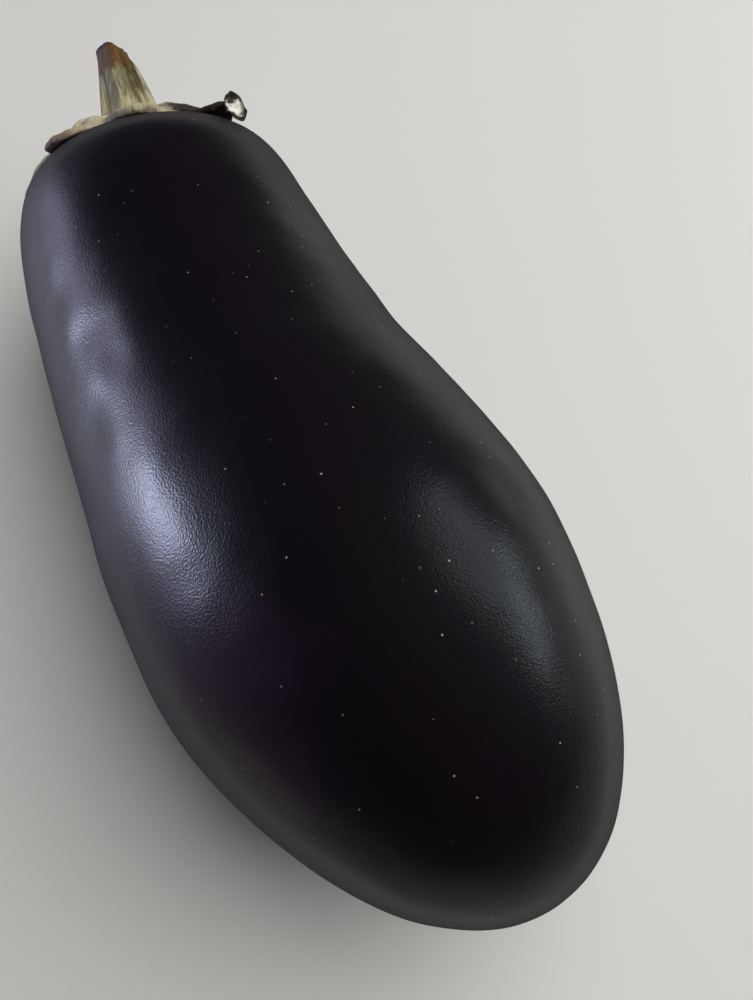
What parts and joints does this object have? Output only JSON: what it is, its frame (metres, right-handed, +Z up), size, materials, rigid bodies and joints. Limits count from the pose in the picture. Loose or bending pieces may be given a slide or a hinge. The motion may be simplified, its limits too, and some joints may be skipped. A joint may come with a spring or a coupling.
{
  "type": "eggplant",
  "caption": "Whole globe eggplant as picked, with its leathery calyx and cut ribbed stem, lying on its side.",
  "frame": {"origin": "on the surface that the fruit rests on, under the middle of the whole piece's box", "axes": "+Y from the blossom end to the stem end, +Z up, +X to the right when looking along +Y"},
  "size_m": [0.0878, 0.2214, 0.089],
  "materials": {
    "skin": null,
    "calyx": null,
    "stem": "fibrous ribbed stem, grey-green with a dried reddish-brown cut end"
  },
  "bodies": {
    "root": {"fruit": "skin", "calyx": "calyx", "stem": "stem"}
  },
  "joints": []
}
